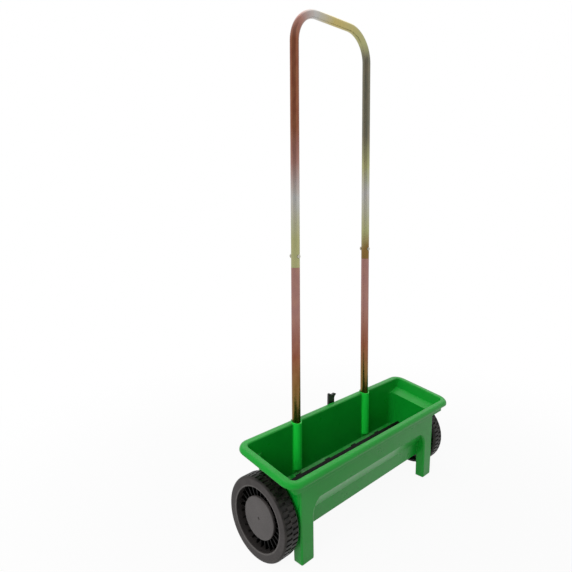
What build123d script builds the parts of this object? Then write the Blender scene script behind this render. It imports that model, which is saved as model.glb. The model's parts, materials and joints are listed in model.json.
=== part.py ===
from build123d import *
from math import atan2, cos, degrees, radians, sin, sqrt
import os

# Walk-behind drop spreader: a moulded hopper on two wheels, a flow lever and a U handle.
# Millimetres. +X runs along the axle to the right, -Y is the front, +Z is up, z = 0 is the ground.

# ---- rim and walls ----
RIM_LENGTH = 573.0
RIM_DEPTH = 164.5
RIM_FRONT_Z = 185.5
RIM_RISE = 26.5
RIM_CORNER_R = 30.0
MOUTH_CORNER_R = 12.0
RIM_DROP = 9.0
RIM_WIDTH_END = 17.0
RIM_WIDTH_SIDE = 16.5
RIM_EDGE_R = 8.0
RIM_INNER_R = 3.0
WALL = 3.0

# ---- front wall: how far each line of it lies behind the wall's top, and its height ----
TRAY_Z = 160.0
BODY_BACK = 11.5
BODY_TOP_Z = 152.0
ARCH_Z = 120.0
POCKET_BACK = 30.5
POCKET_Z = 88.0
FOOT_BACK = 33.0
FOOT_Z = 55.0
LEG_DEPTH = 21.0

# ---- rear wall and ledge ----
REAR_FOOT_Z = 91.5
LEDGE_DROP = 5.0

# ---- ends, legs and wheel arches ----
END_INSET = 45.0
SHOULDER_OUTER = 23.0
SHOULDER_INNER = 31.0
SHOULDER_DRAFT = 6.0
BODY_CORNER_R = 14.0
LEG_INNER_LOW = 200.5
LEG_INNER_HIGH = 203.0
LEG_OUTER_LOW = 235.0
LEG_OUTER_MID = 239.0
LEG_MID_Z = 80.0
LEG_FOOT_R = 4.0
LEG_EDGE_R = 4.0
WINDOW_R = 32.0
ARCH_GAP = 3.0

# ---- axle, trough and agitator ----
WHEEL_R = 81.0
AXLE_Y = 19.0
AXLE_R = 4.0
AXLE_END_PAST = 3.3
TROUGH_R = 37.0
TROUGH_WALL = 3.0
AGITATOR_COUNT = 4
AGITATOR_R = 33.5
AGITATOR_HUB_R = 9.0
AGITATOR_DISC_R = 16.0
AGITATOR_DISC_T = 2.5
BLADE_COUNT = 4
BLADE_T = 3.0
TOOTH_COUNT = 4
TOOTH_PITCH = 94.5
TOOTH_H = 2.5
TOOTH_W = 14.0
AGITATOR_END_GAP = 2.0
AGITATOR_JOIN_GAP = 0.4
CROSS_PIN_R = 1.5

# ---- outlets, shutter and its rails ----
OUTLET_PITCH = 24.0
OUTLETS_PER_SIDE = 9
OUTLET_L = 10.0
OUTLET_W = 8.0
PAD_T = 3.0
PAD_HALF_W = 22.0
SHUTTER_HALF_W = 14.0
SHUTTER_T = 2.5
SHUTTER_END = 9.0
RAIL_LIP = 4.3
RAIL_LIP_T = 2.7
RAIL_SCREW_R = 1.4
RAIL_SCREW_HEAD_R = 2.8
RAIL_SCREW_HEAD_T = 1.8
RAIL_SCREW_BITE = 6.0
RAIL_SCREWS_PER_HALF = 3
RAIL_MIDDLE_GAP = 18.0

# ---- flow lever and its scale ----
LEVER_X = 12.0
LEVER_PIVOT_Z = 100.0
LEVER_T = 5.0
LEVER_BEHIND_RIM = 2.0
LEVER_BOSS_R = 9.0
LEVER_HUB_R = 11.0
LEVER_ARM_W = 13.0
LEVER_STEM_W = 11.0
LEVER_LEAN = 1.0
HEAD_W = 20.0
HEAD_FOOT = 84.0
HEAD_TOP = 131.0
HEAD_NOTCH = 5.0
HEAD_FLARE = 7.0
HEAD_R = 1.5
LEVER_PIN_Z = 42.0
LEVER_PIN_R = 2.5
LEVER_PIN_HEAD_R = 4.0
LEVER_PIN_HEAD_T = 1.5
LEVER_SLOT_PLAY = 0.4
LEVER_SLOT_L = 9.0
LEVER_SCREW_R = 3.0
LEVER_SCREW_HEAD_R = 6.0
LEVER_SCREW_HEAD_T = 3.5
LEVER_WASHER_R = 7.5
LEVER_WASHER_T = 1.2
EAR_HALF_W = 12.0
EAR_T = 2.5
EAR_TOP = 8.0
SCALE_R = 68.0
SCALE_W = 18.0
SCALE_T = 2.0
SCALE_ANGLE = 30.0
SCALE_POST_ANGLE = 24.0
SCALE_POST_R = 4.0
SCALE_SCREW_R = 1.5
SCALE_SCREW_HEAD_R = 3.0
SCALE_SCREW_HEAD_T = 1.3
SCALE_TICKS = 6
TICK_W = 1.2
TICK_DEPTH = 0.6

# ---- bearings and wheels ----
BOSS_R = 11.0
BOSS_T = 3.0
BUSH_R = 6.0
BUSH_FLANGE_R = 9.0
BUSH_FLANGE_T = 2.0
WASHER_R = 8.0
WASHER_T = 1.5
WHEEL_PROUD = -4.0
WHEEL_W = 35.0
TYRE_EDGE_R = 5.0
TYRE_T = 4.0
TYRE_INNER_R = 61.5
TYRE_LIP_R = 1.5
HUB_R = 14.0
HUB_L = 18.0
WEB_T = 3.5
WEB_IN = 20.0
RIB_COUNT = 28
RIB_T = 2.0
RIB_IN = 11.0
TREAD_LUGS = 48
TREAD_DEPTH = 2.4
TREAD_SLOT_W = 4.2
TREAD_EDGE = 3.0
TREAD_MIDDLE = 2.0
CAP_R = 41.5
CAP_IN = 5.7
CAP_T = 2.5
CAP_EDGE_R = 2.0
CAP_DIMPLE_R = 2.5
CAP_DIMPLE_DEPTH = 1.0
SPLIT_PIN_R = 1.0
SPLIT_PIN_L = 16.0

# ---- handle ----
TUBE_R = 9.5
TUBE_WALL = 0.9
TUBE_X = 122.5
TUBE_BEHIND = 2.25
TUBE_FOOT_Z = 110.0
SOCKET_WALL = 2.5
SOCKET_FLOOR = 6.0
JOINT_Z = 547.5
JOINT_GAP = 0.3
SPIGOT_L = 50.0
SPIGOT_GAP = 0.1
NECK_L = 8.0
HANDLE_TOP_Z = 1081.5
HANDLE_BEND_R = 68.0
HANDLE_LEAN = 0.57
JOINT_BOLT_UP = 24.0
JOINT_BOLT_R = 2.4
JOINT_BOLT_HEAD_R = 4.2
JOINT_BOLT_HEAD_T = 2.0
JOINT_BOLT_TAIL = 1.5
NUT_R = 4.8
NUT_T = 3.5
SOCKET_SCREW_Z = 150.0
SOCKET_SCREW_R = 2.2
SOCKET_SCREW_HEAD_R = 4.2
SOCKET_SCREW_HEAD_T = 2.4
SOCKET_SCREW_BITE = 6.0

# ---- prop stand ----
STAND_ROD_R = 3.0
STAND_HALF = 75.0
STAND_Y = 68.0
STAND_Z = 26.0
STAND_KICK = 4.0
STAND_BEND_R = 6.0
LUG_T = 4.0
LUG_REACH = 8.0
STOP_T = 3.0

# ---- clearances ----
FIT = 0.05
TUBE_CLEAR = 0.1
SCREW_CLEAR = 0.1
SLIDE_GAP = 0.3

# ---- worked out from the values above ----
FAR = 400.0
HALF_L = RIM_LENGTH / 2
MOUTH_X = HALF_L - RIM_WIDTH_END
MOUTH_Y = RIM_DEPTH / 2 - RIM_WIDTH_SIDE
WALL_Y = MOUTH_Y + WALL
RIM_TILT = degrees(atan2(RIM_RISE, RIM_DEPTH))
RIM_MID_Z = RIM_FRONT_Z + RIM_RISE / 2
END_X = HALF_L - END_INSET
AXLE_Z = WHEEL_R
BODY_Y = -WALL_Y + BODY_BACK
FRONT_WALL = [
    (-WALL_Y, FAR),
    (-WALL_Y, TRAY_Z),
    (BODY_Y, BODY_TOP_Z),
    (BODY_Y, ARCH_Z),
    (-WALL_Y + POCKET_BACK, POCKET_Z),
    (-WALL_Y + FOOT_BACK, FOOT_Z),
    (AXLE_Y, FOOT_Z),
]
PAD_Z = AXLE_Z - TROUGH_R - TROUGH_WALL - PAD_T
SHUTTER_TOP = PAD_Z - SLIDE_GAP
SHUTTER_BOTTOM = SHUTTER_TOP - SHUTTER_T
SHUTTER_STROKE = OUTLET_PITCH / 2
OUTLETS_X = [i * OUTLET_PITCH for i in range(-OUTLETS_PER_SIDE, OUTLETS_PER_SIDE + 1)]
RAIL_BOTTOM = SHUTTER_BOTTOM - SLIDE_GAP - RAIL_LIP_T
RAIL_INNER = SHUTTER_HALF_W + SLIDE_GAP
RAIL_OUTER = PAD_HALF_W - 1.0
RAIL_SCREW_Y = (RAIL_INNER + RAIL_OUTER) / 2
LEVER_Y = RIM_DEPTH / 2 + LEVER_BEHIND_RIM
LEVER_BACK = LEVER_Y + LEVER_T
LEVER_WASHER_Y = LEVER_BACK + SCREW_CLEAR
LEVER_HEAD_Y = LEVER_WASHER_Y + LEVER_WASHER_T
EAR_Y = LEVER_Y - 2 * SLIDE_GAP - LEVER_PIN_HEAD_T - EAR_T
SCALE_Y = LEVER_Y - 2 * SLIDE_GAP - SCALE_SCREW_HEAD_T - SCALE_T
WHEEL_OUT = HALF_L + WHEEL_PROUD
WHEEL_IN = WHEEL_OUT - WHEEL_W
BUSH_OUT = END_X + BOSS_T + BUSH_FLANGE_T
HUB_IN = BUSH_OUT + WASHER_T + 2 * SCREW_CLEAR
HUB_OUT = HUB_IN + HUB_L
AXLE_END = HUB_OUT + WASHER_T + AXLE_END_PAST
WEB_OUT = WHEEL_OUT - WEB_IN
RIB_OUT = WHEEL_OUT - RIB_IN
CAP_OUT = WHEEL_OUT - CAP_IN
TUBE_Y = MOUTH_Y + TUBE_BEHIND
TUBE_BORE = TUBE_R - TUBE_WALL
SOCKET_R = TUBE_R + TUBE_CLEAR + SOCKET_WALL
BOLT_Z = JOINT_Z + JOINT_BOLT_UP
LUG_X = STAND_HALF + STAND_BEND_R + SLIDE_GAP


def box(x0, x1, y0, y1, z0, z1):
    return Pos((x0 + x1) / 2, (y0 + y1) / 2, (z0 + z1) / 2) * Box(x1 - x0, y1 - y0, z1 - z0)


def polygon(points):
    return make_face(Polyline(*points, close=True))


def prism_x(points, x0, x1):
    """A prism along X from (y, z) points."""
    return extrude(Plane.YZ.offset(x0) * polygon(points), amount=x1 - x0)


def prism_y(face, y0, y1):
    """A prism along Y from a face drawn in (x, z)."""
    return extrude(Plane.XZ.offset(-y1) * face, amount=y1 - y0)


def rod_x(radius, x0, x1, y=AXLE_Y, z=AXLE_Z):
    return extrude(Plane.YZ.offset(x0) * Pos(y, z) * Circle(radius), amount=x1 - x0)


def rod_y(radius, y0, y1, x, z):
    return extrude(Plane.XZ.offset(-y1) * Pos(x, z) * Circle(radius), amount=y1 - y0)


def rod_z(radius, z0, z1, x, y):
    return Pos(x, y, z0) * extrude(Circle(radius), amount=z1 - z0)


def ring_x(outer, bore, x0, x1):
    """A ring or washer on the axle."""
    return rod_x(outer, x0, x1) - rod_x(bore, x0, x1)


def with_mirror(points):
    """Closes an outline drawn on the right by its mirror image on the left."""
    return points + [(-x, z) for x, z in reversed(points)]


def left(solid):
    """The same piece on the left-hand side."""
    return mirror(solid, Plane.YZ)


def on_rim(solid):
    """Tilts a solid drawn about z = 0 onto the plane of the rim."""
    return Pos(0, 0, RIM_MID_Z) * Rot(RIM_TILT, 0, 0) * solid


def mouth_prism(grow):
    """The upright prism of the mouth, grown outwards."""
    mouth = RectangleRounded(2 * (MOUTH_X + grow), 2 * (MOUTH_Y + grow), MOUTH_CORNER_R + grow)
    return extrude(mouth, amount=FAR)


def end_profile(grow):
    """The hopper seen from the front: narrow between the wheels, wide above its shoulders."""
    outline = [
        (END_X - WALL + grow, -FAR),
        (END_X - WALL + grow, -SHOULDER_INNER - grow),
        (MOUTH_X - SHOULDER_DRAFT + grow, -SHOULDER_OUTER - grow),
        (MOUTH_X + grow, 0.0),
        (MOUTH_X + grow, FAR),
    ]
    return on_rim(prism_y(polygon(with_mirror(outline)), -FAR, FAR))


def body_corners(grow):
    """Rounds the body's upright corners below the shoulders."""
    front = BODY_Y + WALL - grow
    rear = MOUTH_Y + grow
    body = RectangleRounded(2 * (END_X - WALL + grow), rear - front, BODY_CORNER_R + grow)
    below = Pos(0, (front + rear) / 2, 0) * extrude(body, amount=FAR)
    return below + on_rim(box(-FAR, FAR, -FAR, FAR, -SHOULDER_INNER - grow, FAR))


def inset(points, gap):
    """A line of (y, z) points moved to its left by a gap, with its corners kept sharp."""
    ways = [(Vector(*b) - Vector(*a)).normalized() for a, b in zip(points, points[1:])]
    sides = [Vector(-way.Y, way.X) for way in ways]
    moved = []
    for point, before, after in zip(points, sides[:1] + sides, sides + sides[-1:]):
        moved.append(Vector(*point) + (before + after) * (gap / (1 + before.dot(after))))
    return [(point.X, point.Y) for point in moved]


def section(grow):
    """The hopper's cross-section: its inside at grow = 0, its outside at grow = WALL."""
    inner = WALL - grow
    radius = TROUGH_R + grow * TROUGH_WALL / WALL
    ledge_z = REAR_FOOT_Z - LEDGE_DROP + inner
    points = inset(FRONT_WALL, inner) + [
        (AXLE_Y, AXLE_Z),
        (AXLE_Y + sqrt(radius ** 2 - (AXLE_Z - ledge_z) ** 2), ledge_z),
        (MOUTH_Y + grow, REAR_FOOT_Z + inner),
        (MOUTH_Y + grow, FAR),
    ]
    half = END_X - WALL + grow
    return prism_x(points, -FAR, FAR) + rod_x(radius, -half, half)


def hopper_space(grow):
    return section(grow) & end_profile(grow) & mouth_prism(grow) & body_corners(grow)


def rim_lip():
    """The rolled rim: a broad flange with its edge turned down."""
    depth = RIM_DEPTH / cos(radians(RIM_TILT))
    flange = extrude(RectangleRounded(RIM_LENGTH, depth, RIM_CORNER_R), amount=-RIM_DROP)
    flange = fillet(flange.edges().group_by(Axis.Z)[-1], RIM_EDGE_R)
    hollow = extrude(
        RectangleRounded(RIM_LENGTH - 2 * WALL, depth - 2 * WALL, RIM_CORNER_R - WALL),
        amount=-RIM_DROP,
    )
    hollow = fillet(hollow.edges().group_by(Axis.Z)[-1], RIM_EDGE_R - WALL)
    return on_rim(flange - Pos(0, 0, -WALL) * hollow)


def shell():
    """Rim and walls, with the mouth's edge rounded."""
    below_rim = on_rim(box(-FAR, FAR, -FAR, FAR, -FAR, 0.0))
    solid = (hopper_space(WALL) + rim_lip()) & below_rim
    solid -= hopper_space(0.0)
    upright = Axis((0, 0, 0), (0, -sin(radians(RIM_TILT)), cos(radians(RIM_TILT))))
    top = solid.faces().sort_by(upright)[-1]
    return fillet(top.inner_wires()[0].edges(), RIM_INNER_R)


def panel_outline():
    """Front panel and legs from the front, with the arched window between the legs."""
    face = polygon(with_mirror([
        (LEG_INNER_HIGH, ARCH_Z),
        (LEG_INNER_LOW, 0.0),
        (LEG_OUTER_LOW, 0.0),
        (LEG_OUTER_MID, LEG_MID_Z),
        (END_X, BODY_TOP_Z),
    ]))
    face = fillet(face.vertices().filter_by_position(Axis.Y, -0.1, 0.1), LEG_FOOT_R)
    arch = face.vertices().filter_by_position(Axis.Y, ARCH_Z - 0.1, ARCH_Z + 0.1)
    return fillet(arch, WINDOW_R)


def front_panel():
    """The panel whose ends run down into two hollow legs, open at the back."""
    back = [
        (BODY_Y + LEG_DEPTH, 0.0),
        (BODY_Y + LEG_DEPTH, POCKET_Z),
        (BODY_Y + WALL, ARCH_Z),
        (BODY_Y + WALL, BODY_TOP_Z),
    ]
    face = panel_outline()
    block = prism_x([(BODY_Y, BODY_TOP_Z), (BODY_Y, 0.0)] + back, -HALF_L, HALF_L) & prism_y(face, -FAR, FAR)
    front = block.edges().filter_by_position(Axis.Y, BODY_Y - 0.1, BODY_Y + 0.1)
    sides = front.filter_by(lambda edge: abs(edge.center().X) > (LEG_INNER_LOW + LEG_OUTER_LOW) / 2)
    block = fillet(sides.filter_by(lambda edge: edge.bounding_box().size.Z > LEG_FOOT_R * 2), LEG_EDGE_R)
    hollow = box(-HALF_L, HALF_L, BODY_Y + WALL, 0.0, 0.0, BODY_TOP_Z)
    return block - (hollow & prism_y(offset(face, amount=-WALL), -FAR, FAR))


def stand_lugs():
    """Ribs under the trough that carry the prop stand's ends and stop its swing."""
    points = [
        (AXLE_Y + TROUGH_R * sin(radians(50)), AXLE_Z - TROUGH_R * cos(radians(50))),
        (AXLE_Y + TROUGH_R + TROUGH_WALL / 2, AXLE_Z + LEDGE_DROP),
        (WALL_Y, REAR_FOOT_Z + WALL / 2),
        (STAND_Y + LUG_REACH, STAND_Z),
        (STAND_Y + LUG_REACH, STAND_Z - LUG_REACH),
        (STAND_Y - LUG_REACH / 2, STAND_Z - LUG_REACH),
    ]
    lug = prism_x(points, LUG_X, LUG_X + LUG_T)
    stop_y = STAND_Y + LUG_REACH - STOP_T
    lug += box(STAND_HALF - STAND_ROD_R, LUG_X + LUG_T, stop_y, stop_y + STOP_T, STAND_Z - LUG_REACH, STAND_Z)
    return lug + left(lug)


def scale_posts():
    """Where the scale plate is screwed on, in (x, z)."""
    turn = radians(SCALE_POST_ANGLE)
    return [(LEVER_X + side * SCALE_R * sin(turn), LEVER_PIVOT_Z + SCALE_R * cos(turn)) for side in (-1, 1)]


def rail_screw_xs():
    """The rails' screws along X, on the right half."""
    first = LEVER_X + EAR_HALF_W + SHUTTER_STROKE + RAIL_MIDDLE_GAP
    last = OUTLETS_X[-1] - SHUTTER_END
    step = (last - first) / (RAIL_SCREWS_PER_HALF - 1)
    return [first + i * step for i in range(RAIL_SCREWS_PER_HALF)]


def all_rail_screws():
    xs = rail_screw_xs()
    return [(x, AXLE_Y + side * RAIL_SCREW_Y) for side in (-1, 1) for x in xs + [-x for x in xs]]


def leaned(solid):
    """Leans a solid drawn upright back with the handle, about the tubes' feet."""
    foot = Pos(0, TUBE_Y, TUBE_FOOT_Z)
    return foot * Rot(-HANDLE_LEAN, 0, 0) * foot.inverse() * solid


def hopper():
    body = shell() + front_panel() + stand_lugs()
    inside = hopper_space(0.0)
    below_rim = on_rim(box(-FAR, FAR, -FAR, FAR, -FAR, 0.0))
    sockets = [leaned(rod_z(SOCKET_R, TUBE_FOOT_Z - SOCKET_FLOOR, FAR, x, TUBE_Y)) for x in (-TUBE_X, TUBE_X)]
    pad_end = END_X - WALL
    body += box(-pad_end, pad_end, AXLE_Y - PAD_HALF_W, AXLE_Y + PAD_HALF_W, PAD_Z, AXLE_Z - TROUGH_R / 2)
    body += rod_x(BOSS_R, -END_X - BOSS_T, END_X + BOSS_T)
    body += rod_y(LEVER_BOSS_R, MOUTH_Y, LEVER_Y - SLIDE_GAP, LEVER_X, LEVER_PIVOT_Z)
    for x, z in scale_posts():
        body += rod_y(SCALE_POST_R, MOUTH_Y, SCALE_Y, x, z)
    body -= inside
    for socket in sockets:
        body += socket & below_rim
    arch = rod_x(WHEEL_R + ARCH_GAP, WHEEL_IN - ARCH_GAP / 2, FAR)
    body -= arch + left(arch)
    body -= rod_x(BUSH_R + FIT, -FAR, FAR)
    for x in (-TUBE_X, TUBE_X):
        body -= leaned(rod_z(TUBE_R + TUBE_CLEAR, TUBE_FOOT_Z, FAR, x, TUBE_Y))
        body -= leaned(rod_y(SOCKET_SCREW_R + SCREW_CLEAR, TUBE_Y, FAR, x, SOCKET_SCREW_Z))
    for x in OUTLETS_X:
        body -= outlet(x, 0.0, AXLE_Z)
    for x, y in all_rail_screws():
        body -= rod_z(RAIL_SCREW_R + SCREW_CLEAR, 0, PAD_Z + RAIL_SCREW_BITE + SLIDE_GAP, x, y)
    body -= rod_y(LEVER_SCREW_R + FIT, WALL_Y, FAR, LEVER_X, LEVER_PIVOT_Z)
    for x, z in scale_posts():
        body -= rod_y(SCALE_SCREW_R + FIT, WALL_Y, FAR, x, z)
    body -= rod_x(STAND_ROD_R + FIT, -LUG_X - LUG_T, LUG_X + LUG_T, STAND_Y, STAND_Z)
    return body


def outlet(x, z0, z1):
    """The space of one metering outlet."""
    across = OUTLET_W / 2
    return box(x - OUTLET_L / 2, x + OUTLET_L / 2, AXLE_Y - across, AXLE_Y + across, z0, z1)


def agitator_spans():
    """Each agitator segment's ends along X."""
    reach = END_X - WALL - AGITATOR_END_GAP
    length = (2 * reach - (AGITATOR_COUNT - 1) * AGITATOR_JOIN_GAP) / AGITATOR_COUNT
    starts = [-reach + i * (length + AGITATOR_JOIN_GAP) for i in range(AGITATOR_COUNT)]
    return [(start, start + length) for start in starts]


def agitator_segment(x0, x1):
    """A hub with four blades, on which broad teeth stand at an even pitch along the axle."""
    solid = rod_x(AGITATOR_HUB_R, x0, x1)
    for end in (x0, x1 - AGITATOR_DISC_T):
        solid += rod_x(AGITATOR_DISC_R, end, end + AGITATOR_DISC_T)
    blade = box(x0, x1, -BLADE_T / 2, BLADE_T / 2, 0.0, AGITATOR_R)
    tooth = box(-TOOTH_W / 2, TOOTH_W / 2, -BLADE_T / 2, BLADE_T / 2, 0.0, AGITATOR_R + TOOTH_H)
    for i in range(TOOTH_COUNT):
        x = (i - (TOOTH_COUNT - 1) / 2) * TOOTH_PITCH
        if x0 + TOOTH_W < x < x1 - TOOTH_W:
            blade += Pos(x, 0, 0) * tooth
    for i in range(BLADE_COUNT):
        solid += Pos(0, AXLE_Y, AXLE_Z) * Rot(360.0 * (i + 0.5) / BLADE_COUNT, 0, 0) * blade
    solid -= rod_x(AXLE_R + FIT, x0, x1)
    return solid - agitator_pin((x0 + x1) / 2, CROSS_PIN_R + FIT)


def agitator_pin(x, radius=CROSS_PIN_R):
    return rod_z(radius, AXLE_Z - AGITATOR_HUB_R, AXLE_Z + AGITATOR_HUB_R, x, AXLE_Y)


def drive_pin(radius=CROSS_PIN_R):
    """Fixes the left wheel's hub to the axle."""
    half = HUB_R - WASHER_T
    return rod_z(radius, AXLE_Z - half, AXLE_Z + half, -(HUB_IN + HUB_OUT) / 2, AXLE_Y)


def split_pin(radius=SPLIT_PIN_R):
    """Holds the right wheel on the axle."""
    x = HUB_OUT + WASHER_T + 2 * SCREW_CLEAR + SPLIT_PIN_R
    return rod_z(radius, AXLE_Z - SPLIT_PIN_L / 2, AXLE_Z + SPLIT_PIN_L / 2, x, AXLE_Y)


def axle():
    solid = rod_x(AXLE_R, -AXLE_END, AXLE_END)
    solid = chamfer(solid.edges(), AXLE_R / 6)
    for x0, x1 in agitator_spans():
        solid -= agitator_pin((x0 + x1) / 2, CROSS_PIN_R + FIT)
    return solid - drive_pin(CROSS_PIN_R + FIT) - split_pin(SPLIT_PIN_R + FIT)


def bush():
    """Flanged bush in the right end wall."""
    sleeve = ring_x(BUSH_R, AXLE_R + FIT, END_X - WALL - FIT, END_X + BOSS_T)
    return sleeve + ring_x(BUSH_FLANGE_R, AXLE_R + FIT, END_X + BOSS_T, BUSH_OUT)


def inner_washer():
    return ring_x(WASHER_R, AXLE_R + FIT, BUSH_OUT + SCREW_CLEAR, BUSH_OUT + SCREW_CLEAR + WASHER_T)


def outer_washer():
    return ring_x(WASHER_R, AXLE_R + FIT, HUB_OUT + SCREW_CLEAR, HUB_OUT + SCREW_CLEAR + WASHER_T)


def tread_slots():
    """Staggered slots in two rows round the tyre."""
    middle = (WHEEL_IN + WHEEL_OUT) / 2
    rows = [
        (WHEEL_IN + TREAD_EDGE, middle - TREAD_MIDDLE / 2, 0.0),
        (middle + TREAD_MIDDLE / 2, WHEEL_OUT - TREAD_EDGE, 0.5),
    ]
    slots = []
    for x0, x1, phase in rows:
        slot = box(x0, x1, -TREAD_SLOT_W / 2, TREAD_SLOT_W / 2, WHEEL_R - TREAD_DEPTH, WHEEL_R + TREAD_DEPTH)
        for i in range(TREAD_LUGS):
            slots.append(Pos(0, AXLE_Y, AXLE_Z) * Rot(360.0 * (i + phase) / TREAD_LUGS, 0, 0) * slot)
    return slots


def wheel():
    """Right wheel: a hollow tyre ring, a ribbed web set back in it, and a hub."""
    tyre = rod_x(WHEEL_R, WHEEL_IN, WHEEL_OUT)
    tyre = fillet(tyre.edges().filter_by(GeomType.CIRCLE), TYRE_EDGE_R)
    tyre -= rod_x(TYRE_INNER_R, WHEEL_IN, WHEEL_OUT)
    tyre = fillet(tyre.edges().group_by(Axis.X)[-1].sort_by(SortBy.RADIUS)[0], TYRE_LIP_R)
    tyre -= ring_x(WHEEL_R - TREAD_DEPTH - TYRE_T, TYRE_INNER_R + TYRE_T, WHEEL_IN, WHEEL_OUT - TYRE_T)
    solid = tyre - tread_slots()
    solid += ring_x(TYRE_INNER_R + WALL, AXLE_R + FIT, WEB_OUT - WEB_T, WEB_OUT)
    solid += ring_x(HUB_R, AXLE_R + FIT, HUB_IN, HUB_OUT)
    rib = box(WEB_OUT - WEB_T / 2, RIB_OUT, -RIB_T / 2, RIB_T / 2, HUB_R - WALL, TYRE_INNER_R + WALL / 2)
    for i in range(RIB_COUNT):
        solid += Pos(0, AXLE_Y, AXLE_Z) * Rot(360.0 * i / RIB_COUNT, 0, 0) * rib
    return solid - rod_x(HUB_R - WALL, HUB_OUT, WHEEL_OUT)


def hub_cap():
    """Smooth disc over the right hub; its skirt rests on the wheel's ribs."""
    disc = rod_x(CAP_R, CAP_OUT - CAP_T, CAP_OUT)
    disc = fillet(disc.edges().group_by(Axis.X)[-1], CAP_EDGE_R)
    disc += ring_x(CAP_R, CAP_R - CAP_T, RIB_OUT, CAP_OUT - CAP_T)
    return disc - rod_x(CAP_DIMPLE_R, CAP_OUT - CAP_DIMPLE_DEPTH, CAP_OUT)


def shutter_slots(x_shift):
    return [outlet(x + x_shift, SHUTTER_BOTTOM, SHUTTER_TOP) for x in OUTLETS_X]


def shutter():
    """Slotted plate, drawn shut, with a tab and an ear for the lever's pin."""
    x0 = OUTLETS_X[0] - SHUTTER_STROKE - SHUTTER_END
    x1 = OUTLETS_X[-1] + SHUTTER_END
    plate = box(x0, x1, AXLE_Y - SHUTTER_HALF_W, AXLE_Y + SHUTTER_HALF_W, SHUTTER_BOTTOM, SHUTTER_TOP)
    plate -= shutter_slots(-SHUTTER_STROKE)
    left_x = LEVER_X - EAR_HALF_W
    right_x = LEVER_X + EAR_HALF_W
    plate += box(left_x, right_x, AXLE_Y, EAR_Y + EAR_T, SHUTTER_BOTTOM, SHUTTER_TOP)
    ear = box(left_x, right_x, EAR_Y, EAR_Y + EAR_T, SHUTTER_BOTTOM, LEVER_PIN_Z + EAR_TOP)
    plate += fillet(ear.edges().filter_by(Axis.Y).group_by(Axis.Z)[-1], EAR_TOP / 2)
    plate -= rod_y(LEVER_PIN_R + FIT, EAR_Y, EAR_Y + EAR_T, LEVER_X, LEVER_PIN_Z)
    return plate - shutter_slots(-SHUTTER_STROKE)


def shutter_pin():
    """Headed pin through the shutter's ear and the lever's slot."""
    end = LEVER_BACK + SLIDE_GAP + LEVER_PIN_HEAD_T
    pin = rod_y(LEVER_PIN_R, EAR_Y - LEVER_PIN_HEAD_T, end, LEVER_X, LEVER_PIN_Z)
    for y in (EAR_Y - LEVER_PIN_HEAD_T, end - LEVER_PIN_HEAD_T):
        pin += rod_y(LEVER_PIN_HEAD_R, y, y + LEVER_PIN_HEAD_T, LEVER_X, LEVER_PIN_Z)
    return pin


def rail(x0, x1, side):
    """One run of the channel that the shutter slides in."""
    y = [AXLE_Y + side * d for d in (RAIL_INNER - RAIL_LIP, RAIL_INNER, RAIL_OUTER)]
    points = [
        (y[0], RAIL_BOTTOM),
        (y[2], RAIL_BOTTOM),
        (y[2], PAD_Z),
        (y[1], PAD_Z),
        (y[1], RAIL_BOTTOM + RAIL_LIP_T),
        (y[0], RAIL_BOTTOM + RAIL_LIP_T),
    ]
    solid = prism_x(points, x0, x1)
    for x, screw_y in all_rail_screws():
        if x0 < x < x1:
            solid -= rod_z(RAIL_SCREW_R + SCREW_CLEAR, RAIL_BOTTOM, PAD_Z, x, screw_y)
    return solid


def rail_screw(x, y):
    head = RAIL_BOTTOM - RAIL_SCREW_HEAD_T
    shank = rod_z(RAIL_SCREW_R, head, PAD_Z + RAIL_SCREW_BITE, x, y)
    return rod_z(RAIL_SCREW_HEAD_R, head, RAIL_BOTTOM, x, y) + shank


def bar_face(start, length, lean, width):
    """A round-ended bar from a point, leaning to the right by an angle from upright."""
    bar = Pos(0, length / 2) * Rot(0, 0, 90) * SlotOverall(length + width, width)
    return Pos(*start) * Rot(0, 0, -lean) * bar


def lever_head():
    """The lever's wide top, notched and flared to the right, drawn upright about the pivot."""
    half = HEAD_W / 2
    head = polygon([
        (-LEVER_STEM_W / 2, HEAD_FOOT - half),
        (-half, HEAD_FOOT),
        (-half, HEAD_TOP),
        (-half / 2, HEAD_TOP),
        (0.0, HEAD_TOP - HEAD_NOTCH),
        (half, HEAD_TOP - HEAD_NOTCH / 2),
        (half + HEAD_FLARE, HEAD_TOP - HEAD_NOTCH),
        (half, HEAD_TOP - HEAD_FLARE - HEAD_NOTCH),
        (half, HEAD_FOOT),
        (LEVER_STEM_W / 2, HEAD_FOOT - half),
    ])
    return fillet(head.vertices().group_by(Axis.Y)[-4:], HEAD_R)


def lever():
    """Flow lever, drawn shut: slotted arm below its pivot, stem and wide head above it."""
    pivot = (LEVER_X, LEVER_PIVOT_Z)
    face = Pos(*pivot) * Circle(LEVER_HUB_R)
    face += bar_face(pivot, LEVER_PIVOT_Z - LEVER_PIN_Z, 180.0, LEVER_ARM_W)
    face += bar_face(pivot, HEAD_FOOT - HEAD_W / 2, LEVER_LEAN, LEVER_STEM_W)
    face += Pos(*pivot) * Rot(0, 0, -LEVER_LEAN) * lever_head()
    face -= Pos(*pivot) * Circle(LEVER_SCREW_R + FIT)
    slot = SlotOverall(LEVER_SLOT_L, 2 * (LEVER_PIN_R + LEVER_SLOT_PLAY))
    face -= Pos(LEVER_X, LEVER_PIN_Z) * Rot(0, 0, 90) * slot
    return prism_y(face, LEVER_Y, LEVER_BACK)


def lever_screw():
    shank = rod_y(LEVER_SCREW_R, WALL_Y + SCREW_CLEAR, LEVER_HEAD_Y, LEVER_X, LEVER_PIVOT_Z)
    head = rod_y(LEVER_SCREW_HEAD_R, LEVER_HEAD_Y, LEVER_HEAD_Y + LEVER_SCREW_HEAD_T, LEVER_X, LEVER_PIVOT_Z)
    return shank + fillet(head.edges().group_by(Axis.Y)[-1], LEVER_SCREW_HEAD_T / 3)


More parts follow.
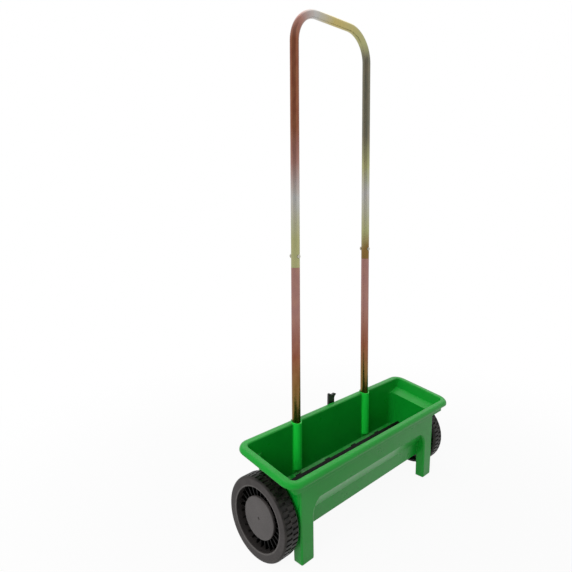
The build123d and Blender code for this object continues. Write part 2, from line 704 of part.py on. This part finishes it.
def lever_washer():
    disc = rod_y(LEVER_WASHER_R, LEVER_WASHER_Y, LEVER_HEAD_Y, LEVER_X, LEVER_PIVOT_Z)
    return disc - rod_y(LEVER_SCREW_R + FIT, LEVER_WASHER_Y, LEVER_HEAD_Y, LEVER_X, LEVER_PIVOT_Z)


def scale_plate():
    """Curved plate behind the lever, with a tick for each setting."""
    reach = 2 * SCALE_R
    turn = radians(SCALE_ANGLE)
    wedge = polygon([(0, 0), (reach * sin(turn), reach * cos(turn)), (-reach * sin(turn), reach * cos(turn))])
    band = (Circle(SCALE_R + SCALE_W / 2) - Circle(SCALE_R - SCALE_W / 2)) & wedge
    plate = prism_y(Pos(LEVER_X, LEVER_PIVOT_Z) * band, SCALE_Y, SCALE_Y + SCALE_T)
    swing = degrees(SHUTTER_STROKE / (LEVER_PIVOT_Z - LEVER_PIN_Z))
    for i in range(SCALE_TICKS):
        lean = LEVER_LEAN - swing * i / (SCALE_TICKS - 1)
        tick = Pos(0, SCALE_R) * Rectangle(TICK_W, SCALE_W / 2)
        mark = Pos(LEVER_X, LEVER_PIVOT_Z) * Rot(0, 0, -lean) * tick
        plate -= prism_y(mark, SCALE_Y + SCALE_T - TICK_DEPTH, SCALE_Y + SCALE_T)
    for x, z in scale_posts():
        plate -= rod_y(SCALE_SCREW_R + FIT, SCALE_Y, SCALE_Y + SCALE_T, x, z)
    return plate


def scale_screw(x, z):
    face = SCALE_Y + SCALE_T
    head = rod_y(SCALE_SCREW_HEAD_R, face, face + SCALE_SCREW_HEAD_T, x, z)
    return head + rod_y(SCALE_SCREW_R, WALL_Y + SCREW_CLEAR, face, x, z)


def joint_bolt_hole(side):
    return rod_y(JOINT_BOLT_R + SCREW_CLEAR, TUBE_Y - 2 * TUBE_R, TUBE_Y + 2 * TUBE_R, side * TUBE_X, BOLT_Z)


def lower_tube(side):
    """Straight tube whose top is drawn in to a spigot."""
    spigot = TUBE_BORE - SPIGOT_GAP
    profile = polygon([
        (TUBE_BORE, TUBE_FOOT_Z),
        (TUBE_R, TUBE_FOOT_Z),
        (TUBE_R, JOINT_Z),
        (spigot, JOINT_Z),
        (spigot, JOINT_Z + SPIGOT_L),
        (spigot - TUBE_WALL, JOINT_Z + SPIGOT_L),
        (spigot - TUBE_WALL, JOINT_Z),
        (TUBE_BORE, JOINT_Z - NECK_L),
    ])
    tube = Pos(side * TUBE_X, TUBE_Y, 0) * revolve(Plane.XZ * profile, Axis.Z)
    tube -= rod_y(SOCKET_SCREW_R + SCREW_CLEAR, TUBE_Y, TUBE_Y + 2 * TUBE_R, side * TUBE_X, SOCKET_SCREW_Z)
    return tube - joint_bolt_hole(side)


def upper_handle():
    """The U-shaped upper tube, fitted over both spigots."""
    foot = JOINT_Z + JOINT_GAP
    path = Plane.XZ.offset(-TUBE_Y) * FilletPolyline(
        (-TUBE_X, foot), (-TUBE_X, HANDLE_TOP_Z), (TUBE_X, HANDLE_TOP_Z), (TUBE_X, foot),
        radius=HANDLE_BEND_R,
    )
    start = Plane(origin=(-TUBE_X, TUBE_Y, foot), z_dir=(0, 0, 1))
    tube = sweep(start * Circle(TUBE_R), path=path) - sweep(start * Circle(TUBE_BORE), path=path)
    return tube - joint_bolt_hole(-1) - joint_bolt_hole(1)


def joint_bolt(side):
    """Dome-headed bolt from the front through the tube joint."""
    x = side * TUBE_X
    seat = TUBE_Y - TUBE_R - SCREW_CLEAR
    nut_back = TUBE_Y + TUBE_R + SCREW_CLEAR + NUT_T
    head = rod_y(JOINT_BOLT_HEAD_R, seat - JOINT_BOLT_HEAD_T, seat, x, BOLT_Z)
    head = fillet(head.edges().group_by(Axis.Y)[0], JOINT_BOLT_HEAD_T * 0.7)
    return head + rod_y(JOINT_BOLT_R, seat, nut_back + JOINT_BOLT_TAIL, x, BOLT_Z)


def joint_nut(side):
    x = side * TUBE_X
    seat = TUBE_Y + TUBE_R + SCREW_CLEAR
    nut = prism_y(Pos(x, BOLT_Z) * RegularPolygon(NUT_R, 6), seat, seat + NUT_T)
    return nut - rod_y(JOINT_BOLT_R + FIT, seat, seat + NUT_T, x, BOLT_Z)


def socket_screw(side):
    """Screw from behind through the socket into the tube."""
    x = side * TUBE_X
    seat = TUBE_Y + SOCKET_R + SCREW_CLEAR
    head = rod_y(SOCKET_SCREW_HEAD_R, seat, seat + SOCKET_SCREW_HEAD_T, x, SOCKET_SCREW_Z)
    head = fillet(head.edges().group_by(Axis.Y)[-1], SOCKET_SCREW_HEAD_T / 2)
    return head + rod_y(SOCKET_SCREW_R, TUBE_Y + TUBE_R - SOCKET_SCREW_BITE, seat, x, SOCKET_SCREW_Z)


def prop_stand():
    """Bent-rod stand under the hopper's rear, drawn down with its foot on the ground."""
    pin_end = LUG_X + LUG_T + STAND_ROD_R
    foot = (STAND_Y + STAND_KICK, STAND_ROD_R)
    path = FilletPolyline(
        (-pin_end, STAND_Y, STAND_Z), (-STAND_HALF, STAND_Y, STAND_Z), (-STAND_HALF, *foot),
        (STAND_HALF, *foot), (STAND_HALF, STAND_Y, STAND_Z), (pin_end, STAND_Y, STAND_Z),
        radius=STAND_BEND_R)
    start = Plane(origin=(-pin_end, STAND_Y, STAND_Z), z_dir=(1, 0, 0))
    return sweep(start * Circle(STAND_ROD_R), path=path)


def rails():
    """The shutter's rails; the rear one is parted for the shutter's tab."""
    end = END_X - WALL
    gap_left = LEVER_X - EAR_HALF_W - SLIDE_GAP * 10
    gap_right = LEVER_X + EAR_HALF_W + SHUTTER_STROKE + SLIDE_GAP * 10
    return {
        "shutter_rail_front": rail(-end, end, -1),
        "shutter_rail_rear_left": rail(-end, gap_left, 1),
        "shutter_rail_rear_right": rail(gap_right, end, 1),
    }


def nodes():
    parts = {"hopper": hopper(), "axle": axle()}
    for number, (x0, x1) in enumerate(agitator_spans(), start=1):
        parts[f"agitator_{number}"] = agitator_segment(x0, x1)
    parts["agitator_pins"] = [agitator_pin((x0 + x1) / 2) for x0, x1 in agitator_spans()]
    parts["bush_right"] = bush()
    parts["bush_left"] = left(bush())
    parts["washer_left"] = left(inner_washer())
    parts["washers_right"] = [inner_washer(), outer_washer()]
    parts["wheel_right"] = wheel()
    parts["wheel_left"] = left(wheel()) - drive_pin(CROSS_PIN_R + FIT)
    parts["hub_cap_right"] = hub_cap()
    parts["hub_cap_left"] = left(hub_cap())
    parts["drive_pin_left"] = drive_pin()
    parts["split_pin_right"] = split_pin()
    parts["shutter"] = shutter()
    parts["shutter_pin"] = shutter_pin()
    parts.update(rails())
    parts["rail_screws"] = [rail_screw(x, y) for x, y in all_rail_screws()]
    parts["flow_lever"] = lever()
    parts["lever_screw"] = lever_screw()
    parts["lever_washer"] = lever_washer()
    parts["scale_plate"] = scale_plate()
    parts["scale_screws"] = [scale_screw(x, z) for x, z in scale_posts()]
    parts["tube_lower_left"] = leaned(lower_tube(-1))
    parts["tube_lower_right"] = leaned(lower_tube(1))
    parts["handle_upper"] = leaned(upper_handle())
    parts["joint_bolts"] = [leaned(joint_bolt(side)) for side in (-1, 1)]
    parts["joint_nuts"] = [leaned(joint_nut(side)) for side in (-1, 1)]
    parts["socket_screws"] = [leaned(socket_screw(side)) for side in (-1, 1)]
    parts["prop_stand"] = prop_stand()
    return parts


def main():
    """Write each node's file, with the origin on the ground under the middle of the whole."""
    pieces = {name: piece if isinstance(piece, list) else piece.solids() for name, piece in nodes().items()}
    boxes = [solid.bounding_box() for solids in pieces.values() for solid in solids]
    middle = (min(b.min.Y for b in boxes) + max(b.max.Y for b in boxes)) / 2
    placed = Pos(0, -middle, 0)
    os.makedirs("parts", exist_ok=True)
    for name, solids in pieces.items():
        export_step(Compound(label=name, children=[placed * solid for solid in solids]), f"parts/{name}.step")


main()
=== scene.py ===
import bpy, json, math
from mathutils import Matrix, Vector

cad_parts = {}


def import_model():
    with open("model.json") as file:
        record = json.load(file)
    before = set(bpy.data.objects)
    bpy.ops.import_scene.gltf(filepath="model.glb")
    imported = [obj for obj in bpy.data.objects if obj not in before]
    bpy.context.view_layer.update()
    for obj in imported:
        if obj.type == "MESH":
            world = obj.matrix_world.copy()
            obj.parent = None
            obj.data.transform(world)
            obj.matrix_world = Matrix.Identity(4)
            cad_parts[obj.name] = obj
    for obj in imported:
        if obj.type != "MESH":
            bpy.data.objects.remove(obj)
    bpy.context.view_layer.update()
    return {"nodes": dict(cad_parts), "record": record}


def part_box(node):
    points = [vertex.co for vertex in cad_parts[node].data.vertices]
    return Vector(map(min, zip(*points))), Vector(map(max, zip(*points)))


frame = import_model()
nodes = frame["nodes"]

bpy.context.scene.view_settings.view_transform = "Standard"


# ------------------------------------------------------------------ camera
CAMERA_PLACE = (-0.87582, -0.67441, 0.68708)
CAMERA_AZIMUTH, CAMERA_PITCH = math.radians(-44.519), math.radians(-5.468)
IMAGE_WIDTH, FOCAL_LENGTH, RISE = 572, 500.40, -36.66    # in pixels of the square image
SENSOR = 36.0


def camera():
    """The photograph's view: front left, above the hopper."""
    data = bpy.data.cameras.new("camera")
    cam = bpy.data.objects.new("camera", data)
    bpy.context.scene.collection.objects.link(cam)
    level = math.cos(CAMERA_PITCH)
    ahead = Vector((-math.sin(CAMERA_AZIMUTH) * level, math.cos(CAMERA_AZIMUTH) * level,
                    math.sin(CAMERA_PITCH)))
    cam.location = CAMERA_PLACE
    cam.rotation_mode = "QUATERNION"
    cam.rotation_quaternion = ahead.to_track_quat("-Z", "Y")
    data.sensor_width = SENSOR
    data.lens = FOCAL_LENGTH / IMAGE_WIDTH * SENSOR
    data.shift_y = RISE / IMAGE_WIDTH
    data.clip_start, data.clip_end = 0.05, 50.0
    bpy.context.scene.camera = cam


camera()


# ------------------------------------------------------------------ node helpers
class Nodes:
    """A node tree under construction, with short names for what is done to it."""

    def __init__(self, tree):
        self.tree = tree
        tree.nodes.clear()

    def add(self, kind, **props):
        node = self.tree.nodes.new(kind)
        for key, value in props.items():
            setattr(node, key, value)
        return node

    def link(self, a, b):
        self.tree.links.new(a, b)

    def put(self, value, socket):
        """Links another node's output, or sets a plain value."""
        if isinstance(value, bpy.types.NodeSocket):
            self.link(value, socket)
        else:
            socket.default_value = value

    def fill(self, node, *values):
        """Puts the values into the node's first inputs; gives its first output."""
        for value, socket in zip(values, node.inputs):
            self.put(value, socket)
        return node.outputs[0]

    def math(self, op, a, b=0.0, c=0.0):
        return self.fill(self.add("ShaderNodeMath", operation=op), a, b, c)

    def product(self, first, *others):
        for other in others:
            first = self.math("MULTIPLY", first, other)
        return first

    def length(self, a, b):
        squares = self.math("MULTIPLY", a, a), self.math("MULTIPLY", b, b)
        return self.math("SQRT", self.math("ADD", *squares))

    def spread(self, value, lo, hi, out_lo=0.0, out_hi=1.0, curve="LINEAR"):
        """lo to hi becomes out_lo to out_hi, and stays there beyond."""
        node = self.add("ShaderNodeMapRange", clamp=True, interpolation_type=curve)
        return self.fill(node, value, lo, hi, out_lo, out_hi)

    def step(self, value, lo, hi, out_lo=0.0, out_hi=1.0):
        return self.spread(value, lo, hi, out_lo, out_hi, "SMOOTHSTEP")


class Mat(Nodes):
    """A material with one Principled shader, placed by object coordinates."""

    def __init__(self, name):
        self.mat = bpy.data.materials.new(name)
        self.mat.use_nodes = True
        super().__init__(self.mat.node_tree)
        out = self.add("ShaderNodeOutputMaterial")
        self.shader = self.add("ShaderNodeBsdfPrincipled")
        self.link(self.shader.outputs[0], out.inputs["Surface"])
        self.place = self.add("ShaderNodeTexCoord").outputs["Object"]

    def set(self, **values):
        for key, value in values.items():
            self.put(value, self.shader.inputs[key.replace("_", " ")])

    def noise(self, scale, detail=3.0, rough=0.5, stretch=None):
        node = self.add("ShaderNodeTexNoise")
        at = self.place
        if stretch:
            mapping = self.add("ShaderNodeMapping")
            mapping.inputs["Scale"].default_value = stretch
            self.link(at, mapping.inputs["Vector"])
            at = mapping.outputs[0]
        self.link(at, node.inputs["Vector"])
        node.inputs["Scale"].default_value = scale
        node.inputs["Detail"].default_value = detail
        node.inputs["Roughness"].default_value = rough
        return node.outputs["Fac"]

    def ramp(self, value, stops):
        node = self.add("ShaderNodeValToRGB")
        self.put(value, node.inputs[0])
        ramp = node.color_ramp
        while len(ramp.elements) < len(stops):
            ramp.elements.new(0.5)
        for element, (at, colour) in zip(ramp.elements, stops):
            element.position = at
            element.color = (*colour, 1.0)
        return node.outputs[0]

    def mix(self, fac, a, b):
        """Colours a to b."""
        node = self.add("ShaderNodeMix", data_type="RGBA")
        for value, socket in ((fac, node.inputs[0]), (a, node.inputs[6]), (b, node.inputs[7])):
            if isinstance(value, tuple):
                value = (*value, 1.0)
            self.put(value, socket)
        return node.outputs[2]

    def part(self, axis):
        node = self.add("ShaderNodeSeparateXYZ")
        self.link(self.place, node.inputs[0])
        return node.outputs[axis]

    def bump(self, height, strength, distance, soft_edge=0.0):
        node = self.add("ShaderNodeBump")
        node.inputs["Strength"].default_value = strength
        node.inputs["Distance"].default_value = distance
        self.put(height, node.inputs["Height"])
        if soft_edge:
            bevel = self.add("ShaderNodeBevel", samples=4)
            bevel.inputs["Radius"].default_value = soft_edge
            self.link(bevel.outputs[0], node.inputs["Normal"])
        self.link(node.outputs[0], self.shader.inputs["Normal"])


def lin(r, g, b):
    """sRGB 0-255 to linear."""
    return tuple(((v / 255 + 0.055) / 1.055) ** 2.4 if v > 10 else v / 255 / 12.92
                 for v in (r, g, b))


# ------------------------------------------------------------------ places on the part, in metres
def line_of_tubes():
    """The handle's leaning tubes: rear offset at height 0, lean, tube radius and side."""
    lo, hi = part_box("tube_lower_left")
    radius = (hi[0] - lo[0]) / 2
    lean = (hi[1] - lo[1] - 2 * radius) / (hi[2] - lo[2])
    return lo[1] + radius - lean * lo[2], lean, radius, -(hi[0] + lo[0]) / 2


REAR, LEAN, TUBE_R, TUBE_X = line_of_tubes()
BAR_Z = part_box("handle_upper")[1][2] - TUBE_R
BEND_R = 0.068

# Each pair is where a zone fades in or out.  The sockets' lighter green, a painted highlight: out
# from the tube's line, on the front half only, and above the trough.
SOCKET_SKIN, SOCKET_FRONT, SOCKET_FOOT = (0.0165, 0.0135), (0.006, -0.002), (0.085, 0.110)
# The painted highlight on the trough's rear ledge, a pale strip: across it, and up it.
LEDGE_ACROSS = (0.0440, 0.0460), (0.0620, 0.0600)
LEDGE_UP = (0.0850, 0.0865), (0.0965, 0.0950)
LEDGE_ALONG = (-0.02, -0.16)
# Radii on the wheel: where its recess (painted shade) ends, where its tread begins, and its lighter
# ring's edges (a painted highlight).
RECESS_END, TREAD_BEGIN = (0.0600, 0.0622), (0.0765, 0.0785)
HIGHLIGHT_RING = (0.0614, 0.0622), (0.0655, 0.0632)


# ------------------------------------------------------------------ materials
def green_plastic():
    """Moulded polypropylene: even green, faintly clouded, a little scuffed.

    The sockets' front halves and the strip on the rear ledge are lighter: painted highlights.
    """
    m = Mat("green_plastic")
    cloud = m.noise(7.0, 3.0)
    fine = m.noise(260.0, 3.0)
    grain = m.noise(1400.0, 2.0)
    flow = m.noise(14.0, 4.0, stretch=(0.35, 1.0, 2.2))
    base = m.ramp(cloud, [(0.30, (0.003, 0.375, 0.027)), (0.70, (0.006, 0.435, 0.038))])
    base = m.mix(m.spread(flow, 0.45, 0.75, 0.0, 0.16), base, (0.008, 0.48, 0.05))

    x, y, z = m.part(0), m.part(1), m.part(2)
    beside = m.math("SUBTRACT", m.math("ABSOLUTE", x), TUBE_X)
    behind = m.math("SUBTRACT", y, m.math("MULTIPLY_ADD", z, LEAN, REAR))
    # Painted highlight: the sockets' front halves are lighter green.
    socket = m.product(m.spread(m.length(beside, behind), *SOCKET_SKIN),
                       m.spread(behind, *SOCKET_FRONT), m.spread(z, *SOCKET_FOOT))
    base = m.mix(socket, base, (0.018, 0.92, 0.085))

    # Painted highlight: a pale, patchy strip along the trough's rear ledge.
    patches = m.noise(45.0, 3.0, stretch=(1.0, 0.3, 0.3))
    ledge_highlight = m.product(*[m.spread(y, *edge) for edge in LEDGE_ACROSS],
                     *[m.spread(z, *edge) for edge in LEDGE_UP],
                     m.spread(patches, 0.38, 0.58), m.spread(x, *LEDGE_ALONG, 0.20, 0.65))
    base = m.mix(ledge_highlight, base, (0.28, 0.56, 0.32))

    scratches = m.noise(90.0, 6.0, 0.65, stretch=(1.0, 1.0, 3.0))
    scuff = m.math("MULTIPLY", m.spread(scratches, 0.60, 0.78), 0.10)
    base = m.mix(scuff, base, (0.06, 0.48, 0.11))
    rough = m.math("ADD", m.spread(m.noise(35.0, 3.0), 0.3, 0.7, 0.27, 0.36),
                   m.math("MULTIPLY", scuff, 0.9))
    m.set(Base_Color=base, Roughness=rough, Specular_IOR_Level=0.31)
    m.bump(m.math("ADD", m.math("MULTIPLY", fine, 0.5), grain), 0.10, 0.0004, 0.0014)
    return m.mat


def dark_plastic(name, colour, rough, level=0.5):
    """Clouded plain plastic with a fine grain."""
    m = Mat(name)
    cloud = m.noise(25.0, 4.0)
    grain = m.noise(900.0, 3.0)
    lo = lin(*colour)
    hi = tuple(min(1.0, c * 1.4 + 0.003) for c in lo)
    base = m.ramp(cloud, [(0.3, lo), (0.75, hi)])
    m.set(Base_Color=base, Roughness=m.spread(grain, 0.3, 0.7, rough - 0.07, rough + 0.07),
          Specular_IOR_Level=level)
    m.bump(grain, 0.2, 0.0003, 0.0008)
    return m.mat


def wheel_plastic():
    """Moulded wheel: grey flank with a lighter ring as painted highlight, recess and ribs
    near-black as painted shade, dark tread.
    """
    m = Mat("wheel_plastic")
    lo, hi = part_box("wheel_left")
    axle_y, axle_z = (lo[1] + hi[1]) / 2, (lo[2] + hi[2]) / 2
    r = m.length(m.math("SUBTRACT", m.part(2), axle_z), m.math("SUBTRACT", m.part(1), axle_y))
    cloud = m.noise(25.0, 4.0)
    grain = m.noise(900.0, 3.0)
    flank = m.ramp(cloud, [(0.3, lin(58, 54, 53)), (0.75, lin(72, 68, 67))])
    scuff = m.spread(m.noise(60.0, 5.0), 0.5, 0.8, 0.0, 0.18)
    flank = m.mix(scuff, flank, lin(112, 106, 100))
    # Painted shade: the recess and its ribs are near-black.
    base = m.mix(m.spread(r, *RECESS_END), lin(7, 7, 6), flank)
    # Painted highlight: a lighter ring round the recess's edge.
    ring_highlight = m.product(*[m.spread(r, *edge) for edge in HIGHLIGHT_RING], 0.45)
    base = m.mix(ring_highlight, base, lin(128, 124, 122))
    tread = m.ramp(m.noise(70.0, 4.0), [(0.35, lin(22, 22, 20)), (0.75, lin(62, 58, 55))])
    base = m.mix(m.spread(r, *TREAD_BEGIN), base, tread)
    m.set(Base_Color=base, Roughness=m.spread(grain, 0.3, 0.7, 0.38, 0.52),
          Specular_IOR_Level=0.22)
    m.bump(grain, 0.2, 0.0003, 0.0009)
    return m.mat


def steel(name, colour=(170, 170, 168), rough=0.3):
    """Bright steel with faint streaks."""
    m = Mat(name)
    streak = m.noise(60.0, 4.0)
    fine = m.noise(700.0, 3.0)
    bright = lin(*colour)
    base = m.ramp(streak, [(0.3, bright), (0.7, tuple(c * 0.75 for c in bright))])
    m.set(Base_Color=base, Metallic=1.0,
          Roughness=m.spread(fine, 0.3, 0.7, rough - 0.08, rough + 0.1))
    m.bump(fine, 0.1, 0.0002, 0.0004)
    return m.mat


# The handle's tubes are yellow-passivated zinc, whose film runs through rust, rose, grey, olive and
# gold.  Each pair gives a place along the tube, in metres up the leg, round the bend and on to the
# bar's middle, and the film's colour there.  The film is the same all round the tube.
GOLD, OLIVE, OCHRE = (178, 164, 104), (160, 162, 116), (122, 96, 50)
RUST, ROSE, STONE, SILVER = (132, 78, 58), (152, 112, 106), (108, 108, 94), (176, 176, 174)
LEFT_FILM = [(1.17, GOLD), (1.11, SILVER), (1.06, ROSE), (1.02, RUST), (0.84, RUST),
             (0.77, ROSE), (0.69, SILVER), (0.60, OLIVE)]
LEFT_LOW_FILM = [(0.54, ROSE), (0.44, ROSE), (0.35, RUST), (0.26, OCHRE)]
RIGHT_FILM = [(1.17, GOLD), (1.06, OLIVE), (1.03, STONE), (0.84, STONE), (0.77, OLIVE),
              (0.70, SILVER), (0.62, OLIVE), (0.57, OCHRE)]
RIGHT_LOW_FILM = [(0.54, ROSE), (0.44, ROSE), (0.33, RUST), (0.26, OCHRE)]


def film(m, along, places):
    """Colour of the zinc film at a place along the tube."""
    first, last = places[-1][0], places[0][0]
    stops = [((place - first) / (last - first), lin(*colour))
             for place, colour in reversed(places)]
    return m.ramp(m.spread(along, first, last), stops)


def zinc(name, *films):
    """A tube's film, or the films of its left and its right half."""
    m = Mat(name)
    x, z = m.part(0), m.part(2)
    bend_z = BAR_Z - BEND_R
    blotch = m.noise(26.0, 3.0, stretch=(1.0, 1.0, 0.5))
    past = m.math("SUBTRACT", m.math("ABSOLUTE", x), TUBE_X - BEND_R)
    above = m.math("MAXIMUM", m.math("SUBTRACT", z, bend_z), 0.0)
    turn = m.math("ARCTAN2", above, m.math("MAXIMUM", past, 0.0))
    along = m.math("MULTIPLY_ADD", turn, BEND_R, m.math("MINIMUM", z, bend_z))
    along = m.math("SUBTRACT", along, m.math("MINIMUM", past, 0.0))
    along = m.math("ADD", along, m.math("MULTIPLY_ADD", blotch, 0.05, -0.025))
    halves = [film(m, along, places) for places in films]
    base = halves[0] if len(halves) == 1 else m.mix(m.spread(x, -0.006, 0.006), *halves)
    hue = m.noise(150.0, 4.0, stretch=(1.0, 1.0, 0.3))
    base = m.mix(m.spread(hue, 0.35, 0.75, 0.0, 0.12), base, lin(214, 170, 120))
    fleck = m.spread(m.noise(900.0, 2.0), 0.62, 0.75, 0.0, 0.12)
    base = m.mix(fleck, base, lin(60, 50, 40))
    m.set(Base_Color=base, Metallic=1.0,
          Roughness=m.spread(m.noise(420.0, 4.0), 0.3, 0.7, 0.20, 0.30))
    m.bump(m.noise(600.0, 3.0, stretch=(1.0, 1.0, 0.2)), 0.06, 0.00015)
    return m.mat


NEAR_BLACK = (16, 18, 15)
looks = {
    "hopper_plastic": green_plastic(),
    "wheel_plastic": wheel_plastic(),
    "cap_plastic": dark_plastic("cap_plastic", (80, 76, 75), 0.3, level=0.3),
    "agitator_plastic": dark_plastic("agitator_plastic", NEAR_BLACK, 0.45, level=0.15),
    "shutter_plastic": dark_plastic("shutter_plastic", NEAR_BLACK, 0.4, level=0.15),
    "rail_plastic": dark_plastic("rail_plastic", NEAR_BLACK, 0.45, level=0.15),
    "lever_plastic": dark_plastic("lever_plastic", (24, 24, 24), 0.4),
    "scale_plastic": dark_plastic("scale_plastic", (40, 40, 40), 0.5),
    "bush_plastic": dark_plastic("bush_plastic", (190, 188, 180), 0.5),
    "axle_steel": steel("axle_steel"),
    "screw_steel": steel("screw_steel"),
    "bolt_steel": steel("bolt_steel", (190, 185, 170), 0.25),
    "stand_wire": steel("stand_wire", (165, 165, 160), 0.3),
    "tube_left": zinc("tube_left", LEFT_LOW_FILM),
    "tube_right": zinc("tube_right", RIGHT_LOW_FILM),
    "tube_upper": zinc("tube_upper", LEFT_FILM, RIGHT_FILM),
}
for entry in frame["record"]["subparts"]:
    obj = nodes[entry["node"]]
    obj.data.materials.clear()
    obj.data.materials.append(looks[entry["material_slot"]])


# ------------------------------------------------------------------ stage and light
SKY = 0.25                                   # soft light from all round
DIM_SIDE = 0.60                              # the dim side, as shiny surfaces show it
SOFT_BOX = 1.8                               # and the soft box overhead
SOFT_BOX_WAY = (0.40, 0.35, 0.85)
VIEW_RIGHT = (0.713, -0.701, 0.0)            # to the right of the photograph's view
VIEW_BACK = (-0.701, -0.713, 0.0)            # and back to where it was taken from
FLOOR_NEAR, FLOOR_FAR = 0.3, 1.2             # metres over which the floor goes over to white
FLOOR_NEAR_GLOW = 0.94
WHITE = (1, 1, 1, 1)


def mix_shaders(t, fac, a, b):
    return t.fill(t.add("ShaderNodeMixShader"), fac, a, b)


def floor():
    """A pale floor that keeps the shadow; camera, glossy and transmission rays see it glow."""
    bpy.ops.mesh.primitive_plane_add(size=60.0, location=(0, 0, 0))
    obj = bpy.context.object
    obj.name = "floor"
    mat = bpy.data.materials.new("floor")
    mat.use_nodes = True
    t = Nodes(mat.node_tree)
    lit = t.add("ShaderNodeBsdfDiffuse")
    lit.inputs[0].default_value = (0.7, 0.7, 0.7, 1)
    glow = t.add("ShaderNodeEmission")
    glow.inputs[1].default_value = 1.0
    away = t.add("ShaderNodeVectorMath", operation="LENGTH")
    t.link(t.add("ShaderNodeTexCoord").outputs["Object"], away.inputs[0])
    rays = t.add("ShaderNodeLightPath").outputs
    seen = t.math("MAXIMUM", rays["Is Camera Ray"], rays["Is Glossy Ray"])
    seen = t.math("MAXIMUM", seen, rays["Is Transmission Ray"])
    far = t.step(away.outputs["Value"], FLOOR_NEAR, FLOOR_FAR, FLOOR_NEAR_GLOW, 1.0)
    share = t.math("MULTIPLY", seen, far)
    out = t.add("ShaderNodeOutputMaterial")
    t.link(mix_shaders(t, share, lit.outputs[0], glow.outputs[0]), out.inputs[0])
    obj.data.materials.append(mat)


def world():
    """White to the camera; to shiny surfaces white with a dim side and a soft box overhead."""
    bpy.context.scene.world = bpy.data.worlds.new("world")
    bpy.context.scene.world.use_nodes = True
    t = Nodes(bpy.context.scene.world.node_tree)
    direction = t.add("ShaderNodeTexCoord").outputs["Generated"]

    def toward(way):
        node = t.add("ShaderNodeVectorMath", operation="DOT_PRODUCT")
        t.link(direction, node.inputs[0])
        node.inputs[1].default_value = way
        return node.outputs["Value"]

    def background(strength):
        return t.fill(t.add("ShaderNodeBackground"), WHITE, strength)

    split = t.add("ShaderNodeSeparateXYZ")
    t.link(direction, split.inputs[0])
    height = split.outputs[2]
    turn = t.math("ARCTAN2", toward(VIEW_RIGHT), toward(VIEW_BACK))
    left_edge = t.step(height, 0.0, 0.14, -0.85, -1.15)
    dim = t.product(t.step(turn, 0.85, 0.40),
                    t.step(t.math("SUBTRACT", turn, left_edge), -0.2, 0.2),
                    t.step(height, 0.95, 0.7))
    studio = t.product(t.step(dim, 0.0, 1.0, 1.0, DIM_SIDE),
                       t.step(toward(SOFT_BOX_WAY), 0.84, 0.90, 1.0, SOFT_BOX))

    rays = t.add("ShaderNodeLightPath").outputs
    shiny = t.math("MAXIMUM", rays["Is Glossy Ray"], rays["Is Transmission Ray"])
    light = mix_shaders(t, shiny, background(SKY), background(studio))
    shown = mix_shaders(t, rays["Is Camera Ray"], light, background(1.0))
    t.link(shown, t.add("ShaderNodeOutputWorld").inputs[0])


def lamp(name, place, size, power):
    """A square soft light over the part, aimed at its lower middle."""
    data = bpy.data.lights.new(name, "AREA")
    data.shape, data.size, data.energy = "SQUARE", size, power
    obj = bpy.data.objects.new(name, data)
    bpy.context.scene.collection.objects.link(obj)
    obj.location = place
    obj.rotation_mode = "QUATERNION"
    aim = Vector((0, 0, 0.2)) - Vector(place)
    obj.rotation_quaternion = aim.to_track_quat("-Z", "Y")
    obj.visible_glossy = False


floor()
world()
lamp("key", (-2.8, -0.4, 2.0), 1.6, 42)
lamp("top", (0.0, 0.0, 3.5), 2.4, 22)
lamp("back", (0.0, 2.2, 2.8), 2.0, 15)
